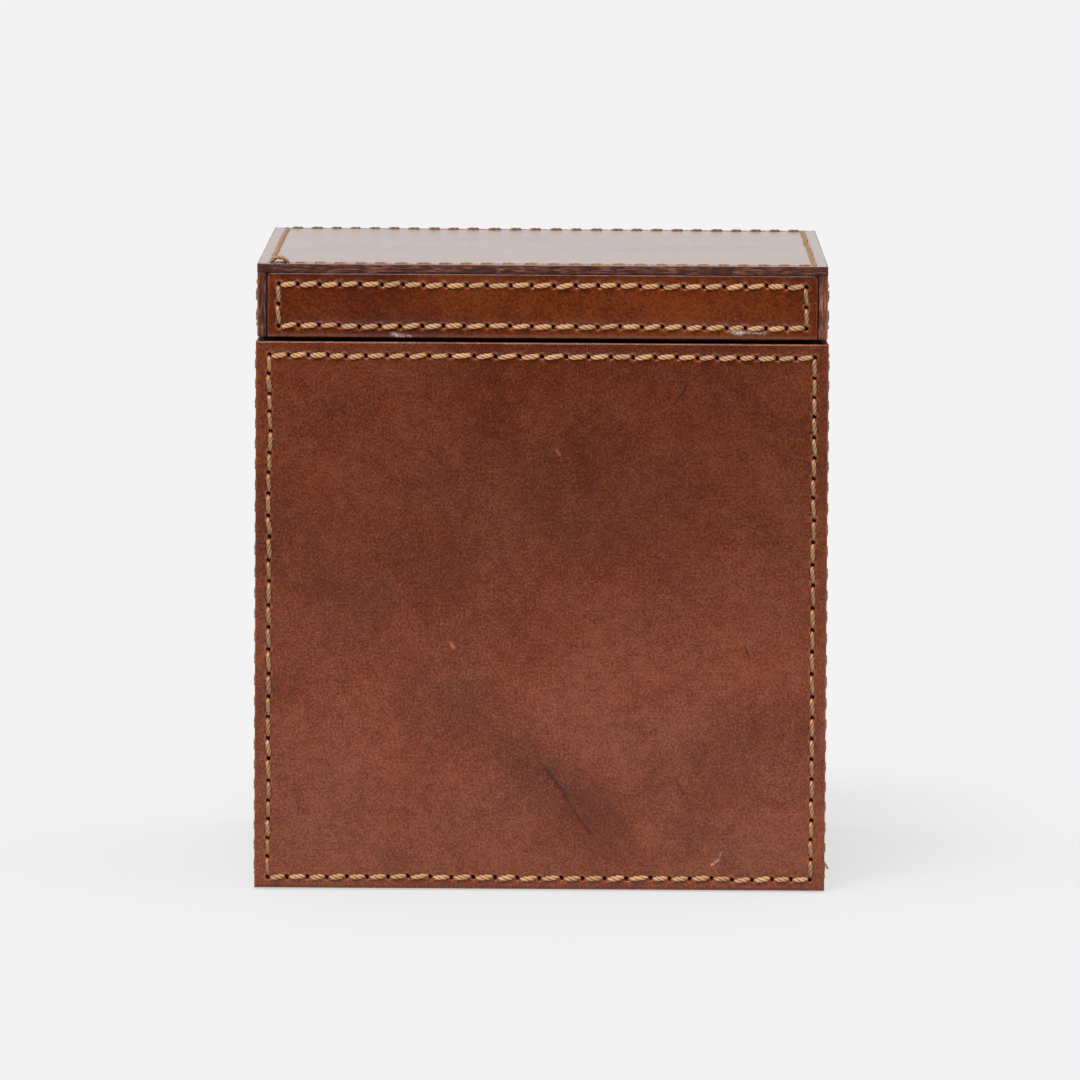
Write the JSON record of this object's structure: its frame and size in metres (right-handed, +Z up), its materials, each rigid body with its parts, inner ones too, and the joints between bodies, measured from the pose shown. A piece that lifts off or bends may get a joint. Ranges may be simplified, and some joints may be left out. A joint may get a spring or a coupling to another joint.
{
  "type": "leather-covered canister with lift-off lid",
  "caption": "Square box covered in saddle-stitched leather panels, with a low leather-covered lid that lifts off a raised inner neck.",
  "frame": {"origin": "on the floor, under the middle of the box", "axes": "+Z up, -Y towards the front face seen in the picture, +X to the viewer's right"},
  "size_m": [0.1014, 0.1014, 0.1107],
  "materials": {
    "body_leather": "semi-gloss, full grain, mottled",
    "lid_leather": "semi-gloss, full grain, mottled",
    "thread": "waxed twisted thread",
    "carcass_board": "plain sanded board",
    "liner_wood": "unvarnished cedar, sanded",
    "base_felt": "pressed felt"
  },
  "bodies": {
    "box": {"front_wall_board": "carcass_board", "back_wall_board": "carcass_board", "left_wall_board": "carcass_board", "right_wall_board": "carcass_board", "base_board": "carcass_board", "front_liner_board": "liner_wood", "back_liner_board": "liner_wood", "left_liner_board": "liner_wood", "right_liner_board": "liner_wood", "well_floor_board": "liner_wood", "base_felt": "base_felt", "front_leather": "body_leather", "back_leather": "body_leather", "left_leather": "body_leather", "right_leather": "body_leather", "front_stitching": "thread", "back_stitching": "thread", "left_stitching": "thread", "right_stitching": "thread"},
    "lid": {"lid_front_rail": "carcass_board", "lid_back_rail": "carcass_board", "lid_left_rail": "carcass_board", "lid_right_rail": "carcass_board", "lid_top_board": "carcass_board", "lid_lining_board": "liner_wood", "lid_top_leather": "lid_leather", "lid_front_leather": "lid_leather", "lid_back_leather": "lid_leather", "lid_left_leather": "lid_leather", "lid_right_leather": "lid_leather", "lid_top_stitching": "thread", "lid_front_stitching": "thread", "lid_back_stitching": "thread", "lid_left_stitching": "thread", "lid_right_stitching": "thread"}
  },
  "joints": [
    {"name": "lid_lift", "type": "slide", "parent": "box", "child": "lid", "axis": [0, 0, 1], "range_m": [0, 0.06]}
  ]
}
